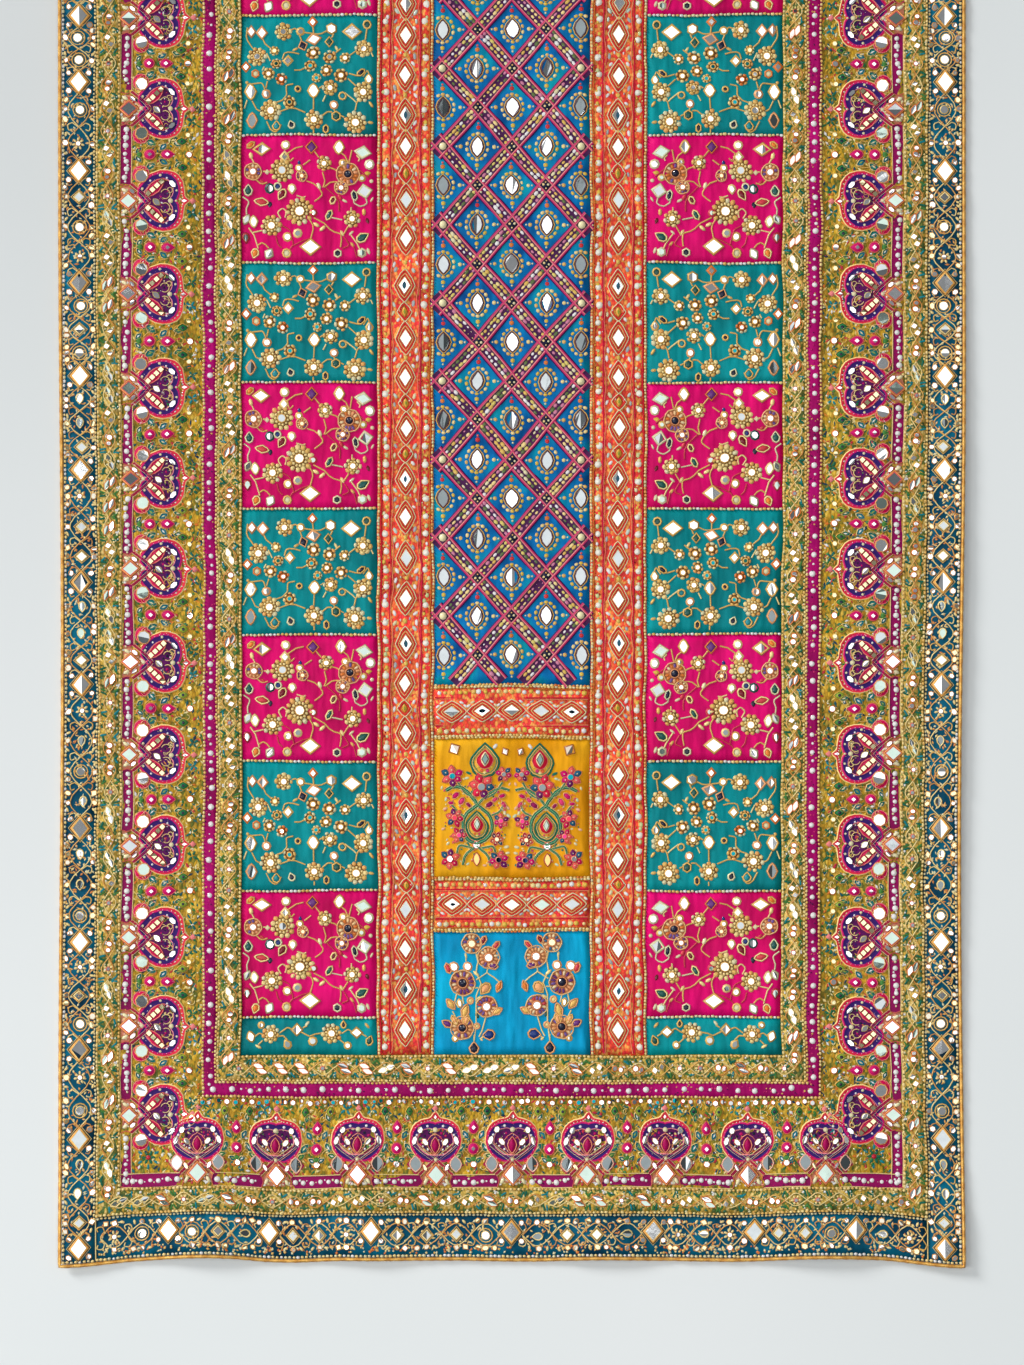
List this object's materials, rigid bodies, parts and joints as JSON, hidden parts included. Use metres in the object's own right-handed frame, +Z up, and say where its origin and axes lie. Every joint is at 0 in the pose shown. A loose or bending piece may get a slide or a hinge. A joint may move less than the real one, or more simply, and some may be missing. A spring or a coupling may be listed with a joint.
{
  "type": "mirror work dupatta",
  "caption": "Long patchwork shawl laid flat, with silk panels in a wide embroidered border set with small mirrors, beads and gold thread.",
  "frame": {"origin": "centre of the bounding box on the surface that the cloth lies on", "axes": "+X across the cloth, +Y along it, away from the end that the picture shows, and +Z up from the surface, out of the embroidered face"},
  "size_m": [0.9078, 2.3862, 0.0105],
  "materials": {
    "lattice_blue": "matt satin, closely beaded with a lattice",
    "azure": "satin with soft sheen",
    "marigold": "satin with soft sheen",
    "orange_red": "matt satin, edged with bead rows",
    "teal": "satin with soft sheen",
    "pink": "satin with soft sheen",
    "border_gold": "dense matt embroidery in olive and gold thread",
    "olive_trim": "woven trim in olive and gold thread",
    "magenta_ribbon": "satin ribbon",
    "border_teal": "matt cloth with gold scrolls in thread",
    "gold_cord": "twisted metallic cord",
    "gold_thread": "metallic thread with a satin gleam",
    "mirror_glass": "polished small mirrors",
    "beads": "pearl-like cream beads",
    "silk_thread": "coloured silk stitches with a soft sheen"
  },
  "bodies": {
    "root": {"azure_panel_near": "azure", "outer_cross_band_near": "orange_red", "inner_cross_band_near": "orange_red", "marigold_panel_near": "marigold", "azure_panel_far": "azure", "outer_cross_band_far": "orange_red", "inner_cross_band_far": "orange_red", "marigold_panel_far": "marigold", "lattice_panel": "lattice_blue", "long_band_left": "orange_red", "long_band_right": "orange_red", "patch_left_01": "teal", "patch_right_01": "teal", "patch_left_02": "pink", "patch_right_02": "pink", "patch_left_03": "teal", "patch_right_03": "teal", "patch_left_04": "pink", "patch_right_04": "pink", "patch_left_05": "teal", "patch_right_05": "teal", "patch_left_06": "pink", "patch_right_06": "pink", "patch_left_07": "teal", "patch_right_07": "teal", "patch_left_08": "pink", "patch_right_08": "pink", "patch_left_09": "teal", "patch_right_09": "teal", "patch_left_10": "pink", "patch_right_10": "pink", "patch_left_11": "teal", "patch_right_11": "teal", "patch_left_12": "pink", "patch_right_12": "pink", "patch_left_13": "teal", "patch_right_13": "teal", "patch_left_14": "pink", "patch_right_14": "pink", "patch_left_15": "teal", "patch_right_15": "teal", "patch_left_16": "pink", "patch_right_16": "pink", "patch_left_17": "teal", "patch_right_17": "teal", "border_ground_left": "border_gold", "teal_border_left": "border_teal", "border_ground_right": "border_gold", "teal_border_right": "border_teal", "border_ground_near": "border_gold", "teal_border_near": "border_teal", "border_ground_far": "border_gold", "teal_border_far": "border_teal", "outer_trim": "olive_trim", "inner_trim": "olive_trim", "magenta_ribbon": "magenta_ribbon", "edge_piping": "gold_cord"}
  },
  "joints": []
}
